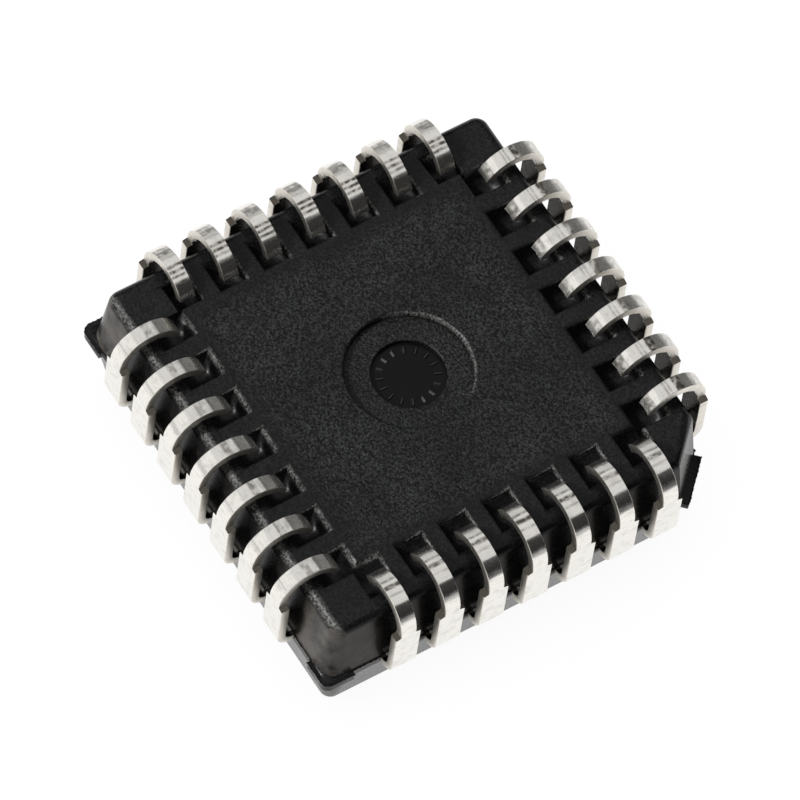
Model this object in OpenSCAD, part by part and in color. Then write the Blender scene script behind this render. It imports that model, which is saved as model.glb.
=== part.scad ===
// Plastic leaded chip carrier with 28 J-leads, lying on its marked face.
// z = 0 is the marked face, +Z runs out of the underside that faces a board in use.
// The origin is the centre of the marked face. All sizes are in millimetres.

/* [Body] */
// Width of the moulded body at the parting line, across the flats
body_w = 11.48; // [11.43:0.01:11.58]
// Height of the body, from the marked face to the underside
body_h = 3.75; // [3.6:0.05:3.9]
// Draft of the side walls on the marked half, in degrees
marked_draft = 13; // [5:1:14]
// Draft of the side walls on the board half, in degrees
board_draft = 6.5; // [4:0.5:10]
// How far the board half stands back from the marked half at the parting line
half_offset = 0.02; // [0:0.01:0.05]
// Radius of the rounded edge round the marked face
edge_r = 0.1; // [0.05:0.01:0.15]
// Radius of the rounded edge round the underside
board_edge_r = 0.3; // [0.15:0.01:0.34]
// Radius of the three plain corners, seen from above, where they meet the marked face
corner_r = 0.2; // [0.1:0.05:0.4]
// Radius of the three plain corners, seen from above, where they meet the underside
board_corner_r = 0.05; // [0.03:0.01:0.3]
// Length of the index chamfer along each side
index_chamfer = 1.14; // [1.07:0.01:1.22]
// How far the moulding flash stands out of the walls at the corners
flash_reach = 0.11; // [0.05:0.01:0.18]
// Length of the flash along each side of a plain corner
flash_run = 0.76; // [0.5:0.02:1]
// How far the flash stands out of the index chamfer
index_flash_reach = 0.19; // [0.05:0.01:0.24]
// Length of the flash along the index chamfer
index_flash_run = 1.44; // [1:0.02:1.5]
// Least distance along a side from the end leads to the flash
flash_gap = 0.25; // [0.15:0.05:0.35]
// Radius of the flash at the plain corners
flash_corner_r = 0.22; // [0.1:0.02:0.4]
// Diameter of the pin 1 dimple in the marked face
dimple_d = 1.2; // [0.8:0.1:1.5]
// Depth of the pin 1 dimple
dimple_depth = 0.1; // [0.05:0.01:0.2]
// Distance from the dimple's edge to the edge of the marked face
dimple_margin = 0.5; // [0.3:0.1:0.8]

/* [Lead pockets] */
// Width of one pocket in the underside
pocket_w = 0.76; // [0.7:0.02:0.86]
// Depth of one pocket
pocket_depth = 0.5; // [0.4:0.05:0.7]
// Room between a lead's tip and the inner end of its pocket
pocket_room = 0.44; // [0.3:0.02:0.6]
// The same room on the +Y side
back_pocket_room = 0.16; // [0.1:0.02:0.44]
// Width of the rim that is left outside the pockets
rim_w = 0.46; // [0.3:0.02:0.56]
// Slope of the pocket's end walls from upright, in degrees
pocket_draft = 20; // [5:1:25]

/* [Ejector mark] */
// Diameter of the outer step of the ejector mark
mark_d = 3.26; // [2.8:0.02:3.6]
// Depth of the outer step
mark_depth = 0.22; // [0.1:0.02:0.3]
// Diameter of the inner disc
disc_d = 1.93; // [1.5:0.01:2.2]
// Depth of the inner disc below the outer step
disc_depth = 0.14; // [0.05:0.01:0.2]

/* [Leads] */
// Pitch of the leads along one side
pitch = 1.27; // [1.22:0.01:1.3]
// Thickness of the lead frame strip
strip_t = 0.25; // [0.2:0.01:0.28]
// Height of the lead frame's lower face above the marked face
frame_z = 1.575; // [1.5:0.025:1.65]
// Width of the shoulder, from the moulding to the step
shoulder_w = 0.72; // [0.66:0.01:0.76]
// Width of the curled foot, past the step
foot_w = 0.44; // [0.36:0.01:0.53]
// Flat length of a lead between the moulding and its exit bend
exit_run = 0.035; // [0.02:0.005:0.06]
// Inner radius of the exit bend
bend_r = 0.2; // [0.15:0.01:0.25]
// How much nearer to the moulding the leads of the +Y side were formed, by a tighter exit bend
back_tuck = 0.14; // [0:0.01:0.14]
// Inner radius of the curled foot
curl_r = 0.67; // [0.6:0.01:0.7]
// Angle through which the foot curls, in degrees
curl_angle = 153; // [140:1:165]
// Height of the curled feet above the underside
standoff = 0.62; // [0.51:0.01:0.7]
// Distance from the shoulder's step to the start of the curl
step_gap = 0.06; // [0.02:0.01:0.2]
// Length of the sloped cut at the step
step_slope = 0.05; // [0.02:0.01:0.1]

/* [Lead frame inside the moulding] */
// Width of the square die pad
pad_w = 5.2; // [4.6:0.1:5.4]
// How far the die pad is set toward the underside
pad_downset = 0.25; // [0.2:0.01:0.35]
// Width of the tie bars at the pad's corners
tie_w = 0.4; // [0.3:0.02:0.5]
// Length of the sloped part of a tie bar
tie_slope = 0.3; // [0.2:0.05:0.5]
// Flat length of a tie bar between the pad's corner and its slope
tie_run = 0.15; // [0.1:0.05:0.3]
// Moulding left outside the cut end of a tie bar
tie_cover = 0.3; // [0.2:0.05:0.6]
// Least gap between a tie bar and the fingers beside it
tie_gap = 0.15; // [0.1:0.05:0.2]
// Gap between the die pad and the tips of the inner fingers, seen from above
tip_gap = 0.35; // [0.25:0.05:0.45]
// Width of a finger at its tip
tip_w = 0.42; // [0.3:0.02:0.46]
// Pitch of the finger tips along the pad
tip_pitch = 0.72; // [0.66:0.01:0.76]
// Width of a finger between the fan and the anchor
finger_w = 0.56; // [0.5:0.02:0.62]
// Length of the full-width anchor inside the moulding
anchor_len = 0.6; // [0.4:0.05:0.8]
// Length of the straight finger between the anchor and the fan
finger_run = 0.4; // [0.2:0.05:0.6]

/* [Die and wires] */
// Width of the square die
die_w = 3.6; // [3:0.1:4]
// Thickness of the die
die_t = 0.38; // [0.3:0.01:0.4]
// Thickness of the die attach adhesive
attach_t = 0.025; // [0.015:0.005:0.04]
// How far the adhesive reaches out past the die
attach_fillet = 0.1; // [0:0.05:0.2]
// Diameter of a bond wire
wire_d = 0.033; // [0.03:0.001:0.05]
// Height of a wire's loop over the line between its two bonds
loop_h = 0.3; // [0.2:0.01:0.4]
// Diameter of the bonds at the two ends of a wire
bond_d = 0.085; // [0.07:0.005:0.1]
// Thickness of the bonds
bond_t = 0.03; // [0.02:0.005:0.04]
// Distance from the die's edge to the bonds on it
die_bond_inset = 0.15; // [0.1:0.05:0.3]
// Pitch of the bonds along the die
die_bond_pitch = 0.42; // [0.36:0.01:0.46]
// Distance from a finger's tip to the bond on it
tip_bond_inset = 0.2; // [0.1:0.05:0.3]

/* [Hidden] */
$fn = 48;
side_count = 4;
leads_per_side = 7;
lead_count = side_count * leads_per_side;
// Number of the lead that opens the first side, because pin 1 is in the middle of that side
first_pin = lead_count - floor(leads_per_side / 2) + 1;
// Sides are counted clockwise from +X, so the +Y side comes last
back_side = side_count - 1;

// Heights of the lead frame, the parting line and the seating plane
frame_top = frame_z + strip_t;
seat_z = body_h + standoff;
pad_z = frame_z + pad_downset;
die_top = pad_z - attach_t;
die_face = die_top - die_t;

// Distances from the centre of the body
half_w = body_w / 2;
board_half_w = half_w - half_offset;
flash_half_w = half_w + flash_reach;
// Distance of the index chamfer from the centre at the parting line
chamfer_r = sqrt(2) * half_w - index_chamfer / sqrt(2);
exit_r = half_w + exit_run;
curl_centre_z = seat_z - strip_t - curl_r;
step_z = curl_centre_z - step_gap;
row_half_w = (leads_per_side - 1) / 2 * pitch + shoulder_w / 2;
finger_tip_r = pad_w / 2 + tip_gap;
anchor_r = half_w - anchor_len;
fan_r = anchor_r - finger_run;
die_bond_r = die_w / 2 - die_bond_inset;
tip_bond_r = finger_tip_r + tip_bond_inset;

// Longer than anything in the part, for cutters that run past it
far = 2 * body_w;
// How far a cutter runs past the face that it opens
over = 0.1;
// Steps in a rounded edge
edge_steps = 4;

lead_colour = "Gainsboro";
body_colour = "DimGray";

function two_digits(n) = n < 10 ? str("0", n) : str(n);
function lead_name(n) = str("lead_", two_digits(n));
function reversed(list) = [for (i = [len(list) - 1:-1:0]) list[i]];
function mirrored(list) = [for (p = reversed(list)) [-p.x, p.y]];
// A point to the nearest tenth of a micron, so that walls and round corners share their edges exactly
function snapped(p) = [for (v = p) round(v * 10000) / 10000];

// Half of a side wall's section, from its foot up to a rounded top edge, as [half width, height] points
function wall(foot_w, height, draft, top_r) =
    let (centre_z = height - top_r)
    let (centre_w = foot_w - (centre_z + top_r * sin(draft)) * tan(draft) - top_r * cos(draft))
    concat([[foot_w, 0]], [for (i = [0:edge_steps])
        let (a = draft + (90 - draft) * i / edge_steps)
        snapped([centre_w + top_r * cos(a), centre_z + top_r * sin(a)])]);
// Half width of such a wall where it meets the rounded edge's flat face, with the rounding left out
function wall_top(foot_w, height, draft) = foot_w - height * tan(draft);

// A strip of the wall's section, reaching run to each side along Y
module wall_slab(section, run) {
    rotate([90, 0, 0])
        linear_extrude(2 * run, center = true)
            polygon(concat(section, mirrored(section)));
}

// A block with drafted walls: three corners are round and the one at +X, -Y is cut by a chamfer
module drafted_block(section, round_r, chamfer) {
    top = section[len(section) - 1].y;
    straight = section[len(section) - 1].x - round_r;
    chamfer_shift = (sqrt(2) - 1) * section[0].x - chamfer / sqrt(2);
    cut_section = concat([[-far, 0]], [for (p = section) [p.x + chamfer_shift, p.y]], [[-far, top]]);
    intersection() {
        union() {
            wall_slab(section, straight);
            rotate([0, 0, 90])
                wall_slab(section, straight);
            for (corner = [[1, 1], [-1, 1], [-1, -1]])
                translate([corner.x * straight, corner.y * straight, 0])
                    rotate_extrude()
                        polygon(concat([[0, 0]], [for (p = section) [p.x - straight, p.y]], [[0, top]]));
            intersection() {
                wall_slab(section, far);
                rotate([0, 0, 90])
                    wall_slab(section, far);
                translate([0, -far, 0])
                    cube([far, far, top]);
            }
        }
        rotate([0, 0, -45])
            rotate([90, 0, 0])
                linear_extrude(2 * far, center = true)
                    polygon(cut_section);
    }
}

// Inner radius of the exit bends on a side
function bend_in(side) = side == back_side ? bend_r - back_tuck : bend_r;
// Distance of the curls' axes from the centre of the body on a side
function curl_centre_r(side) = exit_r + bend_in(side) - curl_r;
// Distance of the leads' tips from the centre of the body on a side
function tip_end_r(side) = curl_centre_r(side) + (curl_r + strip_t) * cos(curl_angle);

// Puts its children on one of the four sides, where +X runs outward
module on_side(side) {
    rotate([0, 0, -90 * side])
        children();
}

// Puts its children at each lead of one side
module along_side() {
    for (place = [0:leads_per_side - 1])
        translate([0, side_place(place), 0])
            children();
}

// Place of a lead in steps from the middle of its side, from the first lead to the last
function side_step(place) = (leads_per_side - 1) / 2 - place;
// The same place in millimetres
function side_place(place) = side_step(place) * pitch;

// One pocket for a lead's tip on a side, open to the underside
module pocket(side) {
    inner_r = tip_end_r(side) - (side == back_side ? back_pocket_room : pocket_room);
    outer_r = wall_top(board_half_w, body_h - frame_top, board_draft) - rim_w;
    slope = pocket_depth * tan(pocket_draft);
    translate([0, pocket_w / 2, body_h])
        rotate([90, 0, 0])
            linear_extrude(pocket_w)
                polygon([[inner_r, 0], [inner_r + slope, -pocket_depth], [outer_r - slope, -pocket_depth],
                         [outer_r, 0], [outer_r, over], [inner_r, over]]);
}

// The two-step round mark in the middle of the underside
module ejector_mark() {
    translate([0, 0, body_h - mark_depth])
        cylinder(h = mark_depth + over, d = mark_d);
    translate([0, 0, body_h - mark_depth - disc_depth])
        cylinder(h = disc_depth + over, d = disc_d);
}

// The flash left at the four corners of the parting line, as thick as the lead frame
module flash() {
    plain_start = half_w - flash_run;
    row_w = 2 * (row_half_w + flash_gap);
    difference() {
        union() {
            intersection() {
                translate([0, 0, frame_z])
                    drafted_block([[flash_half_w, 0], [flash_half_w, strip_t]], flash_corner_r,
                                  index_chamfer);
                for (angle = [0, 90, 180])
                    rotate([0, 0, angle])
                        translate([plain_start, plain_start, 0])
                            cube([far, far, body_h]);
            }
            rotate([0, 0, -45])
                translate([0, -index_flash_run / 2, frame_z])
                    cube([chamfer_r + index_flash_reach, index_flash_run, strip_t]);
        }
        for (angle = [0, 90])
            rotate([0, 0, angle])
                cube([2 * far, row_w, 2 * far], center = true);
    }
}

// The marked half of the moulding, which holds the lead frame
module marked_half() {
    walls = [for (p = wall(half_w, frame_z, marked_draft, edge_r)) [p.x, p.y + strip_t]];
    translate([0, 0, frame_top])
        mirror([0, 0, 1])
            drafted_block(concat([[half_w, 0]], walls), corner_r, index_chamfer);
}

// The half of the moulding that faces the board
module board_half() {
    translate([0, 0, frame_top])
        drafted_block(wall(board_half_w, body_h - frame_top, board_draft, board_edge_r), board_corner_r,
                      index_chamfer);
}

// Everything that the moulding encloses
module enclosed() {
    for (n = [1:lead_count])
        place_lead(n)
            inner_finger(side_step(lead_place(n)));
    pad_with_ties();
    attach_layer();
    silicon();
    wires();
}

module body() {
    color(body_colour)
        difference() {
            union() {
                marked_half();
                flash();
                board_half();
            }
            for (side = [0:side_count - 1])
                on_side(side)
                    along_side()
                        pocket(side);
            ejector_mark();
            translate([wall_top(half_w, frame_z, marked_draft) - dimple_margin - dimple_d / 2, 0, -over])
                cylinder(h = dimple_depth + over, d = dimple_d);
            enclosed();
        }
}

// Index of a lead counted from the first one of the first side
function lead_index(n) = (n - first_pin + lead_count) % lead_count;
function lead_place(n) = lead_index(n) % leads_per_side;
function lead_side(n) = floor(lead_index(n) / leads_per_side);

// Puts its children on the side of lead n, where +X runs outward
module place_lead(n) {
    on_side(lead_side(n))
        children();
}

// Flat part of a lead: bond tip, fan, straight finger and the full-width anchor that runs out to the bend
module inner_finger(step) {
    tip_y = step * tip_pitch;
    lead_y = step * pitch;
    left = [[finger_tip_r, tip_y - tip_w / 2], [fan_r, lead_y - finger_w / 2],
            [anchor_r, lead_y - finger_w / 2], [anchor_r, lead_y - shoulder_w / 2],
            [exit_r, lead_y - shoulder_w / 2]];
    right = [[exit_r, lead_y + shoulder_w / 2], [anchor_r, lead_y + shoulder_w / 2],
             [anchor_r, lead_y + finger_w / 2], [fan_r, lead_y + finger_w / 2],
             [finger_tip_r, tip_y + tip_w / 2]];
    slot_w = tie_w + 2 * tie_gap;
    translate([0, 0, frame_z])
        linear_extrude(strip_t)
            difference() {
                polygon(concat(left, right));
                for (angle = [-45, 45])
                    rotate(angle)
                        translate([0, -slot_w / 2])
                            square([far, slot_w]);
            }
}

// An arc of strip in the XZ plane, turned about the Y axis from a start angle
module strip_arc(inner_r, width, start, angle) {
    rotate([90, -start, 0])
        rotate_extrude(angle = angle)
            translate([inner_r, -width / 2])
                square([strip_t, width]);
}

// Formed part of a lead on a side: exit bend, shoulder with its step, and curled foot
module formed_lead(side) {
    bend_centre_z = frame_top + bend_in(side);
    translate([exit_r, 0, bend_centre_z])
        strip_arc(bend_in(side), shoulder_w, -90, 90);
    translate([exit_r + bend_in(side), 0, 0])
        rotate([90, 0, 90])
            linear_extrude(strip_t)
                polygon([[-shoulder_w / 2, bend_centre_z], [shoulder_w / 2, bend_centre_z],
                         [shoulder_w / 2, step_z - step_slope], [foot_w / 2, step_z],
                         [foot_w / 2, curl_centre_z], [-foot_w / 2, curl_centre_z],
                         [-foot_w / 2, step_z], [-shoulder_w / 2, step_z - step_slope]]);
    translate([curl_centre_r(side), 0, curl_centre_z])
        strip_arc(curl_r, foot_w, 0, curl_angle);
}

module lead(n) {
    color(lead_colour)
        place_lead(n) {
            inner_finger(side_step(lead_place(n)));
            translate([0, side_place(lead_place(n)), 0])
                formed_lead(lead_side(n));
        }
}

// Section of a tie bar along its diagonal, from inside the pad's corner to its cut end
module tie_bar(end_r) {
    pad_corner = pad_w / sqrt(2);
    slope_start = pad_corner + tie_run;
    slope_end = slope_start + tie_slope;
    rotate([90, 0, 0])
        linear_extrude(tie_w, center = true)
            polygon([[pad_corner - tie_w, pad_z], [slope_start, pad_z], [slope_end, frame_z],
                     [end_r, frame_z], [end_r, frame_top], [slope_end, frame_top],
                     [slope_start, pad_z + strip_t], [pad_corner - tie_w, pad_z + strip_t]]);
}

module pad_with_ties() {
    plain_end = sqrt(2) * (half_w - corner_r) + corner_r - tie_cover;
    index_end = chamfer_r - tie_cover;
    translate([-pad_w / 2, -pad_w / 2, pad_z])
        cube([pad_w, pad_w, strip_t]);
    for (angle = [45, 135, 225])
        rotate([0, 0, angle])
            tie_bar(plain_end);
    rotate([0, 0, -45])
        tie_bar(index_end);
}

module die_pad() {
    color("Silver")
        pad_with_ties();
}

module attach_layer() {
    attach_w = die_w + 2 * attach_fillet;
    translate([-attach_w / 2, -attach_w / 2, die_top])
        cube([attach_w, attach_w, attach_t]);
}

module die_attach() {
    color("LightGray")
        attach_layer();
}

module silicon() {
    translate([-die_w / 2, -die_w / 2, die_face])
        cube([die_w, die_w, die_t]);
}

module die() {
    color("SlateGray")
        silicon();
}

// One bond wire in its own upright plane, as an arc that bulges toward the marked face.
// It runs from a bond at the origin to one that is span away and rise higher.
module wire_arc(span, rise) {
    chord = norm([span, rise]);
    tilt = atan2(rise, span);
    arc_r = (chord ^ 2 / 4 + loop_h ^ 2) / (2 * loop_h);
    half_angle = asin(chord / (2 * arc_r));
    centre = [chord / 2 * cos(tilt) - (arc_r - loop_h) * sin(tilt),
              chord / 2 * sin(tilt) + (arc_r - loop_h) * cos(tilt)];
    translate([centre.x, 0, centre.y])
        rotate([90, 90 + half_angle - tilt, 0])
            rotate_extrude(angle = 2 * half_angle)
                translate([arc_r, 0])
                    circle(d = wire_d);
}

// One bond wire with the flattened bonds at its two ends
module wire(step) {
    fan_share = tip_bond_inset / (fan_r - finger_tip_r);
    die_bond = [die_bond_r, step * die_bond_pitch, die_face - bond_t];
    tip_bond = [tip_bond_r, step * (tip_pitch + (pitch - tip_pitch) * fan_share), frame_z - bond_t];
    along = tip_bond - die_bond;
    for (bond = [die_bond, tip_bond])
        translate(bond)
            cylinder(h = bond_t, d = bond_d);
    translate(die_bond + [0, 0, bond_t / 2])
        rotate([0, 0, atan2(along.y, along.x)])
            wire_arc(norm([along.x, along.y]), along.z);
}

module wires() {
    for (n = [1:lead_count])
        place_lead(n)
            wire(side_step(lead_place(n)));
}

module bond_wires() {
    color("Gold")
        wires();
}

body();
for (n = [1:lead_count])
    lead(n);
die_pad();
die_attach();
die();
bond_wires();
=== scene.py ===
"""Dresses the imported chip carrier: moulded body, formed leads, moulding flash and the studio round them."""

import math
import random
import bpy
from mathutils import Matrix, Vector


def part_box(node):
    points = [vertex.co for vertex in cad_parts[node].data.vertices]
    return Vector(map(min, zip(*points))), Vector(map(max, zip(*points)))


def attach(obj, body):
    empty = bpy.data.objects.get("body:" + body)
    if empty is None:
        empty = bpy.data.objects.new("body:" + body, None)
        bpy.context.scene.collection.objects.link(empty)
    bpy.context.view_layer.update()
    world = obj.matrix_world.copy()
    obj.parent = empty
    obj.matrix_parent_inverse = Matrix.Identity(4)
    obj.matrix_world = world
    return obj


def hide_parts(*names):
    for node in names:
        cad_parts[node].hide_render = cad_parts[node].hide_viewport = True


bl_info = {
    "name": "Chip Carrier Dresser",
    "version": (1, 0, 0),
    "blender": (4, 5, 0),
    "location": "3D View > Sidebar > Chip Carrier",
    "description": "Gives a leaded chip carrier its moulded, formed and plated finishes",
    "category": "Object",
}

from functools import partial

import bmesh
import bpy
from bpy.props import FloatProperty, FloatVectorProperty, IntProperty, PointerProperty
from bpy.types import Operator, Panel, PropertyGroup
from mathutils import Matrix, Vector

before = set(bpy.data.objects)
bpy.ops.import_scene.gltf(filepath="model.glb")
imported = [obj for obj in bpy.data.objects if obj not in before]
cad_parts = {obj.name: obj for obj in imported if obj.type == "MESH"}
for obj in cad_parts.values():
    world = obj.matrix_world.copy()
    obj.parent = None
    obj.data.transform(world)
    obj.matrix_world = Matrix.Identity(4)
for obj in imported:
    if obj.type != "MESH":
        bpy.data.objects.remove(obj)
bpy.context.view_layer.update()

MM = 0.001
RIGID_BODY = "root"
SIDES = 4
LEADS_PER_SIDE = 7
LEAD_NODES = [f"lead_{place:02d}" for place in range(1, SIDES * LEADS_PER_SIDE + 1)]
# Sides are counted clockwise from +X, so the +Y side, whose leads were formed nearer, comes last
BACK_SIDE = 3
# Leads 1 and 22 are the middle leads of the +X and +Y sides, so their boxes lie along the axes
lead_low, lead_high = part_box("lead_01")
back_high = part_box("lead_22")[1]
body_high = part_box("body")[1]
# Half width of a lead's shoulder, where the strip is widest
half_shoulder = (lead_high.y - lead_low.y) / 2
# Heights between which faces well inside the outline line the cavities of the lead frame, die and wires
CAVITY_LOW, CAVITY_HIGH = 0.4 * MM, 3.0 * MM
# Distances under which points are one, and faces or edges lie at one height
SAME_POINT, SAME_HEIGHT = 0.0002 * MM, 0.01 * MM
# Direction toward the key lamp: lips that face it get a painted highlight, pale flecks in their colour
HIGHLIGHT_SIDE = (-0.98, -0.18, 0.0)
# Dull bands across the curls of each side, partly marks that the forming tools left and partly painted dark
# reflections: where each starts and ends, in degrees round the curl, and how dull it is
TOOL_AND_REFLECTION_MARKS = (
    ((76, 90, 0.9), (98, 100, 0.6), (104, 106, 0.6), (132, 153, 0.6), (30, 76, 0.3)),
    ((76, 79, 0.5), (88, 96, 0.9), (102, 106, 0.7), (117, 121, 0.5)),
    ((80, 92, 0.55), (92, 130, 0.2), (104, 106, 0.4), (116, 118, 0.3), (132, 153, 0.35)),
    ((48, 72, 0.5), (93, 98, 0.95), (102, 107, 0.95), (111, 115, 0.85), (121, 126, 0.7), (135, 153, 0.4)),
)
# Width over which a dull band fades, in degrees
MARK_FADE = 3.0
# Steps round the exit bend, round the curl, and over which the ripple of the curl sets in
BEND_STEPS, CURL_STEPS, RIPPLE_STEPS = 12, 90, 12
# Steps round the corner of a flash tab
TAB_STEPS = 6
EPOXY_IOR = 1.53
# Height of the turning rings and of the fine lines of the plating
FINE_RELIEF = 0.002 * MM
# How much longer than wide the fine lines are, and how fast their pattern moves on from lead to lead
LINE_STRETCH, LINE_SHIFT = 12.5, (300.0, 300.0, 0.0)
# Width of the core that a lead is swept from, and half width of its middle that stays, in edge radii
CORE_WIDTH, CORE_MIDDLE = 2.2, 0.2
# Corner radius of a tick and width of its top, as shares of its width
TICK_CORNER, TICK_TOP = 0.3, 0.25
# Camera: degrees round the chip, up and about its own axis, then its distance and lens, in millimetres
CAMERA_TURN, CAMERA_DISTANCE, CAMERA_LENS = (-39.83, 59.96, 9.49), 300, 542.16
# Height of the point that the camera aims at, and how far it aims to the right and up, in millimetres
AIM_HEIGHT, AIM_RIGHT, AIM_UP = 2.0, -0.092, 0.105
PAPER_HALF = 600 * MM
CHIP_MIDDLE = (0, 0, 3 * MM)
# Lamps: name, the value that sets the level, sides, place, aim, and the pieces that it is kept to, if any
LAMPS = (
    ("key_lamp", "key_level", (0.08, 0.08), (-0.28, 0.08, 0.29), CHIP_MIDDLE,
     ("moulded_body", "flash_film", "mark_ticks")),
    ("back_softbox", "back_level", (0.4, 0.2), (0.14, 0.42, 0.17), CHIP_MIDDLE, ("formed_leads",)),
    ("side_softbox", "side_level", (0.5, 0.32), (-0.36, 0.06, 0.17), CHIP_MIDDLE, ()),
    ("top_softbox", "top_level", (0.6, 0.7), (0.0, 0.1, 0.34), (0.0, 0.1, 0.0), ()),
    ("fill_softbox", "fill_level", (0.5, 0.26), (0.4, 0.05, 0.14), CHIP_MIDDLE, ()),
)


def linear(code):
    """An sRGB hex colour as linear red, green, blue and alpha."""
    channels = [int(code[i:i + 2], 16) / 255 for i in (0, 2, 4)]
    return [c / 12.92 if c <= 0.04045 else ((c + 0.055) / 1.055) ** 2.4 for c in channels] + [1.0]


def darkened(tint, share):
    """A linear colour with a share of its light."""
    return [c * share for c in tint[:3]] + [1.0]


def number(name, description, default, **kind):
    """A number property."""
    return FloatProperty(name=name, description=description, default=default, **kind)


def length(name, description, millimetres):
    """A length property that is kept in metres, with its default in millimetres."""
    return number(name, description, millimetres * MM, unit="LENGTH", precision=6)


def angle(name, description, degrees):
    """An angle property that is kept in radians, with its default in degrees."""
    return number(name, description, math.radians(degrees), subtype="ANGLE")


def colour(name, description, code):
    """A colour property that is kept linear, with its default as an sRGB hex code."""
    return FloatVectorProperty(name=name, description=description, default=linear(code), size=4,
                               subtype="COLOR")


class BodyLook(PropertyGroup):
    """Sizes and colours of the moulded body."""
    marked_half: length("Marked face half width", "Half width of the body at the marked face", 5.376)
    parting_half: length("Parting line half width", "Half width of the body at the parting line", 5.74)
    board_half: length("Underside half width", "Half width at the underside, before its rounding", 5.501)
    corner_centre: length("Corner centre", "Distance of the round corners' axes from the middle", 5.13)
    chamfer_reach: length("Chamfer reach", "Distance of the index chamfer, at the parting line", 7.311)
    cavity_margin: length("Cavity margin", "Depth under the outline past which cavities start", 0.04)
    edge_soft: length("Edge softness", "Width of the worn edges of the moulding", 0.03)
    mouth_soft: length("Mouth softness", "Width of the rounded edges of pockets and ejector mark", 0.09)
    grain_reach: length("Grain reach", "Half width of the square that carries the full grain", 3.6)
    # Lips down to this depth carry the painted highlight
    lip_highlight_depth: length("Rub depth", "Depth under the underside down to which lips are rubbed", 0.2)
    # Mottle size, corner start and wall start place the painted reflection on the outer walls
    mottle: length("Mottle size", "Size of the smears on the outer walls", 0.5)
    corner_start: length("Corner start", "Distance along a side past which its walls are rubbed pale", 4.1)
    wall_start: length("Wall start", "Distance past which a face counts as an outer wall", 4.9)
    grain_fade: length("Grain fade", "Distance over which the grain fades toward the pockets", 0.35)
    disc_radius: length("Disc radius", "Radius of the polished disc in the ejector mark", 0.965)
    disc_depth: length("Disc depth", "Depth of the polished disc under the underside", 0.36)
    grain: length("Grain size", "Size of the mould's spark-eroded pits, coarser than life to show", 0.08)
    grain_depth: length("Grain depth", "Depth of the spark-eroded pits", 0.04)
    patch: length("Patch size", "Size of the patches in which the filler lies thicker", 1.4286)
    haze: length("Haze size", "Size of the hazy spots on the polished disc", 0.25)
    ring_gap: length("Ring gap", "Distance between the turning rings on the polished disc", 0.062832)
    tint: colour("Compound colour", "Colour of the epoxy mould compound", "101011")
    # Colour of the pale flecks: partly silica filler, partly painted glints
    filler_and_glints: colour("Filler colour", "Colour of the silica filler that shows at the surface", "3D3E3E")
    # Colour of the lips' painted highlight, on the lips that face the key lamp
    wear_and_painted_light: colour("Rubbed colour", "Colour of the compound on the rubbed lips", "706F6C")
    # Colour of the walls' painted reflection of the white paper, at the corners
    wall: colour("Wall colour", "Colour of the compound on the walls where they are rubbed", "4E4A46")
    polished: colour("Polished colour", "Colour of the compound where the mould was polished", "0A0A0A")


class LeadLook(PropertyGroup):
    """Sizes and colours of the formed leads."""
    pitch: length("Pitch", "Distance between neighbouring leads", 1.27)
    strip: length("Strip thickness", "Thickness of the lead frame strip", 0.25)
    foot_width: length("Foot width", "Width of the curled foot", 0.44)
    exit_run: length("Exit run", "Flat length between the moulding and the exit bend", 0.035)
    bend: length("Bend radius", "Inner radius of the exit bend", 0.2)
    curl: length("Curl radius", "Inner radius of the curled foot", 0.67)
    curl_angle: angle("Curl angle", "Angle through which the foot curls", 153)
    step_gap: length("Step gap", "Distance from the shoulder's step to the start of the curl", 0.06)
    step_slope: length("Step slope", "Length of the sloped cut at the step", 0.05)
    tip_width: length("Finger tip width", "Width of an inner finger at its tip", 0.42)
    tip_pitch: length("Finger tip pitch", "Pitch of the inner finger tips", 0.72)
    finger_width: length("Finger width", "Width of an inner finger before its anchor", 0.56)
    anchor: length("Anchor length", "Length of the full-width anchor inside the moulding", 0.6)
    finger_run: length("Finger run", "Length of the straight finger behind the anchor", 0.4)
    edge_soft: length("Edge radius", "Radius of the blanked edges under the plating", 0.03)
    horn: length("Tip horn", "How far the corners of a tip stand out past its middle", 0.03)
    ripple: length("Forming ripple", "Height of the marks that the forming tool leaves", 0.0022)
    ripple_gap: length("Ripple spacing", "Distance between the forming marks", 0.23)
    scratch: length("Scratch spacing", "Spacing of the fine lines across the plating", 0.03)
    mark_breakup: length("Stain size", "Size of the breaks in the forming marks", 0.15385)
    blot: length("Blot size", "Size of the faint blots in the plating", 0.22)
    plating: colour("Plating colour", "Colour of the tin plate", "F3F0EA")
    # Colour of the dull places: dull plating, and in the bands on the curls also painted dark reflections
    dull_and_dark_reflection: colour("Tarnish colour", "Colour of the tin plate where it is dull", "5F5A52")
    flank: colour("Flank colour", "Colour of the thin plating on the strip's blanked sides", "EEE9E0")
    sheared: colour("Sheared colour", "Colour of the bare copper where the dam bar was cut off", "5C5750")
    seed: IntProperty(name="Seed", description="Seed of the small differences between leads", default=7)


class FlashLook(PropertyGroup):
    """Sizes of the ragged film of flash along the parting line."""
    tab_half: length("Tab half width", "Half width over the corner tabs", 5.85)
    tab_start: length("Tab start", "Distance at which a plain corner's tab starts", 4.98)
    index_start: length("Index tab start", "Distance at which the chamfer's tab starts", 4.6)
    tab_radius: length("Tab corner radius", "Radius of the tabs at the plain corners", 0.22)
    index_out: length("Index tab distance", "Distance of the chamfer's tab from the middle", 7.501)
    index_half: length("Index tab half run", "Half length of the chamfer's tab", 0.72)
    film: length("Film thickness", "Thickness of the ragged film", 0.02)
    reach: length("Film reach", "Furthest that the ragged film stands out", 0.03)
    rag: length("Rag size", "Length of one tooth of the ragged edge", 0.09)
    spacing: length("Film spacing", "Spacing of the film's points along the parting line", 0.02)


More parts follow.
